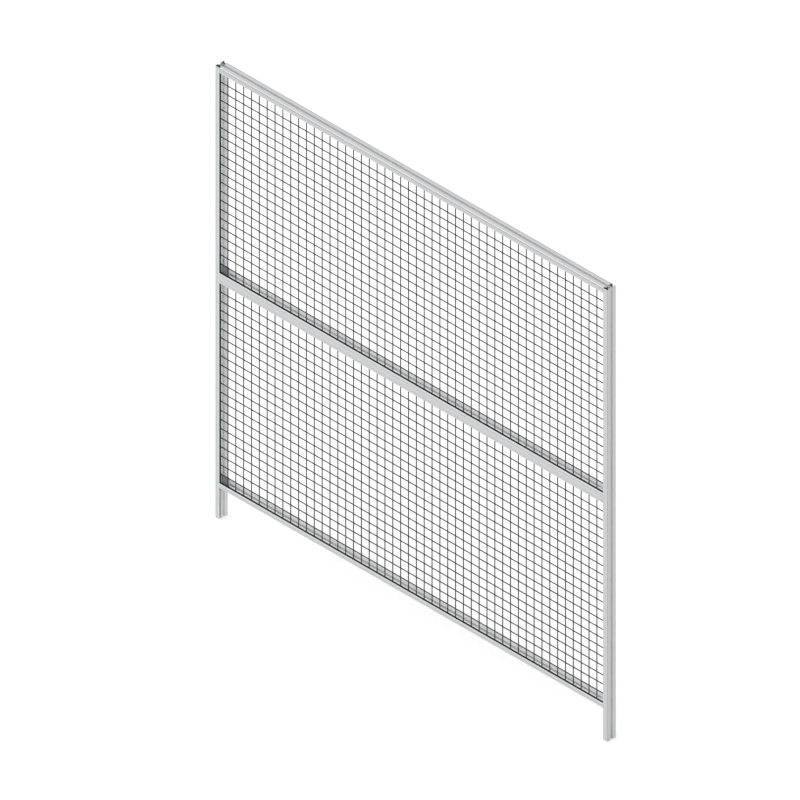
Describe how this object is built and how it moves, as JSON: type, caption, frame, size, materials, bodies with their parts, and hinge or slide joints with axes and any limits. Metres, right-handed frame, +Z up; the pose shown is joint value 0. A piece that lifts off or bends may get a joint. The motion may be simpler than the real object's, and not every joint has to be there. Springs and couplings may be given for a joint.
{
  "type": "machine guard fence panel",
  "caption": "Machine guard fence panel: slotted aluminium frame with a middle rail and two fields of black welded wire mesh held in grooves.",
  "frame": {"origin": "centre of the left post's profile, on its cut foot", "axes": "+X along the panel to the right post, +Y from the front face to the back, +Z up"},
  "size_m": [2, 0.045, 2],
  "materials": {
    "aluminium_profile": "natural anodised, satin",
    "black_wire": "black powder coat, semi-matt",
    "edge_strip": "matt black",
    "corner_plate": "dark grey powder coat, satin",
    "slot_key": "zinc plated",
    "slot_plug": "black moulded polyamide, matt"
  },
  "bodies": {
    "root": {"left_post": "aluminium_profile", "right_post": "aluminium_profile", "top_rail": "aluminium_profile", "mid_rail": "aluminium_profile", "bottom_rail": "aluminium_profile", "upper_mesh_left": "black_wire", "upper_mesh_mid": "black_wire", "upper_mesh_right": "black_wire", "lower_mesh_left": "black_wire", "lower_mesh_mid": "black_wire", "lower_mesh_right": "black_wire", "strip_upper_left": "edge_strip", "strip_upper_right": "edge_strip", "strip_upper_top": "edge_strip", "strip_upper_bottom": "edge_strip", "strip_lower_left": "edge_strip", "strip_lower_right": "edge_strip", "strip_lower_top": "edge_strip", "strip_lower_bottom": "edge_strip", "upper_corner_plate": "corner_plate", "lower_corner_plate": "corner_plate", "key_top_left": "slot_key", "key_top_right": "slot_key", "key_mid_left": "slot_key", "key_mid_right": "slot_key", "key_bottom_left": "slot_key", "key_bottom_right": "slot_key", "plug_left_groove": "slot_plug", "plug_left_slot": "slot_plug", "plug_right_groove": "slot_plug", "plug_right_slot": "slot_plug"}
  },
  "joints": []
}
